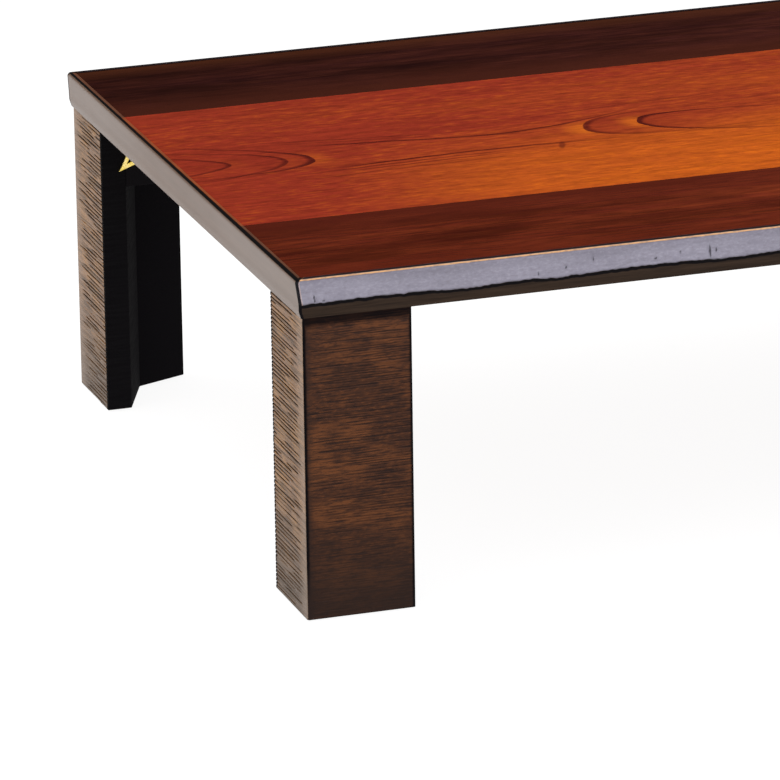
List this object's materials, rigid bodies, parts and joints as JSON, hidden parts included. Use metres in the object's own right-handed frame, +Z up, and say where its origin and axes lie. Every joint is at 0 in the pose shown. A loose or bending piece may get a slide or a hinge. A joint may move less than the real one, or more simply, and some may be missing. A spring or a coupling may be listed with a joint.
{
  "type": "folding low table",
  "caption": "Low rectangular floor table with a banded lacquered wood top, hewn long edges and open corner legs that fold flat under the top on steel hinges.",
  "frame": {"origin": "on the floor under the middle of the top, legs open", "axes": "+X along the length, +Y towards the back, +Z up"},
  "size_m": [1.2, 0.75, 0.325],
  "materials": {
    "centre_veneer": "red-brown stain under gloss lacquer",
    "dark_veneer": "dark brown stain under gloss lacquer",
    "edge_lacquer": "dark stain under gloss lacquer",
    "plywood": "sanded plywood",
    "core_wood": "planed softwood",
    "leg_wood": "rough-sawn, dark stain, satin lacquer",
    "painted_block": "black paint",
    "plated_steel": "yellow zinc plating",
    "spring_steel": "blued spring steel",
    "felt": "pressed felt"
  },
  "bodies": {
    "tabletop": {"base_plate_screws": "plated_steel", "bottom_board": "plywood", "centre_veneer": "centre_veneer", "front_band_veneer": "dark_veneer", "front_core_rail": "core_wood", "front_edge_strip": "edge_lacquer", "front_left_base_plate": "plated_steel", "front_left_detent_spring": "spring_steel", "front_right_base_plate": "plated_steel", "front_right_detent_spring": "spring_steel", "hinge_mounting_blocks": "core_wood", "hinge_pins": "plated_steel", "left_core_rail": "core_wood", "left_edge_strip": "edge_lacquer", "middle_core_rails": "core_wood", "rear_band_veneer": "dark_veneer", "rear_core_rail": "core_wood", "rear_edge_strip": "edge_lacquer", "rear_left_base_plate": "plated_steel", "rear_left_detent_spring": "spring_steel", "rear_right_base_plate": "plated_steel", "rear_right_detent_spring": "spring_steel", "right_core_rail": "core_wood", "right_edge_strip": "edge_lacquer", "top_board": "plywood"},
    "leg_front_left": {"front_left_side_board": "leg_wood", "front_left_face_board": "leg_wood", "front_left_hinge_block": "painted_block", "front_left_long_arm": "plated_steel", "front_left_short_arm": "plated_steel", "front_left_arm_screws": "plated_steel", "front_left_felt_pad": "felt"},
    "leg_front_right": {"front_right_side_board": "leg_wood", "front_right_face_board": "leg_wood", "front_right_hinge_block": "painted_block", "front_right_long_arm": "plated_steel", "front_right_short_arm": "plated_steel", "front_right_arm_screws": "plated_steel", "front_right_felt_pad": "felt"},
    "leg_rear_left": {"rear_left_side_board": "leg_wood", "rear_left_face_board": "leg_wood", "rear_left_hinge_block": "painted_block", "rear_left_long_arm": "plated_steel", "rear_left_short_arm": "plated_steel", "rear_left_arm_screws": "plated_steel", "rear_left_felt_pad": "felt"},
    "leg_rear_right": {"rear_right_side_board": "leg_wood", "rear_right_face_board": "leg_wood", "rear_right_hinge_block": "painted_block", "rear_right_long_arm": "plated_steel", "rear_right_short_arm": "plated_steel", "rear_right_arm_screws": "plated_steel", "rear_right_felt_pad": "felt"}
  },
  "joints": [
    {"name": "front_left_leg_fold", "type": "hinge", "parent": "tabletop", "child": "leg_front_left", "pos_m": [-0.4827, -0.29305, 0.2735], "axis": [0, -1, 0], "range_deg": [0, 90], "deforming": ["front_left_detent_spring"]},
    {"name": "front_right_leg_fold", "type": "hinge", "parent": "tabletop", "child": "leg_front_right", "pos_m": [0.4827, -0.29305, 0.2735], "axis": [0, 1, 0], "range_deg": [0, 90], "deforming": ["front_right_detent_spring"]},
    {"name": "rear_left_leg_fold", "type": "hinge", "parent": "tabletop", "child": "leg_rear_left", "pos_m": [-0.4827, 0.29305, 0.2735], "axis": [0, -1, 0], "range_deg": [0, 90], "deforming": ["rear_left_detent_spring"]},
    {"name": "rear_right_leg_fold", "type": "hinge", "parent": "tabletop", "child": "leg_rear_right", "pos_m": [0.4827, 0.29305, 0.2735], "axis": [0, 1, 0], "range_deg": [0, 90], "deforming": ["rear_right_detent_spring"]}
  ]
}
